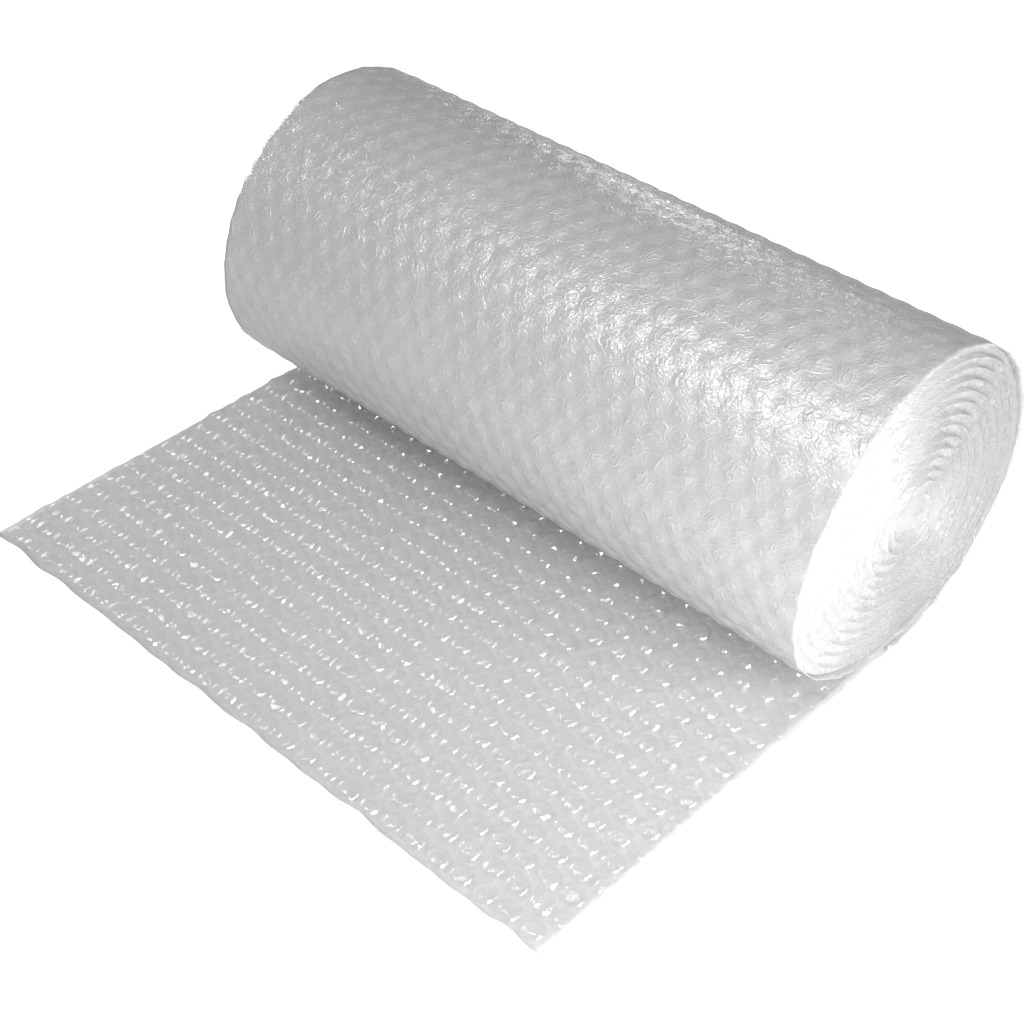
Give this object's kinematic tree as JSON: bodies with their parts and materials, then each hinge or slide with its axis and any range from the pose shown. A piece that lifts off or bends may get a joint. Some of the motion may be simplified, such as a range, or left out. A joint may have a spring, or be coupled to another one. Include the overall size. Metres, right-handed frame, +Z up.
{
  "type": "bubble wrap roll",
  "caption": "Small roll of clear bubble wrap lying on its side, with the loose end of the web laid out flat in front of it, bubbles up.",
  "frame": {"origin": "on the surface it lies on, under the middle of the roll", "axes": "+X along the roll, towards the end seen nearer in the picture, +Y away from the loose end, +Z up"},
  "size_m": [0.3008, 0.2681, 0.133],
  "materials": {
    "film": "clear, slightly milky polyethylene film with a soft shine"
  },
  "bodies": {
    "root": {"bubble_wrap": "film"}
  },
  "joints": []
}
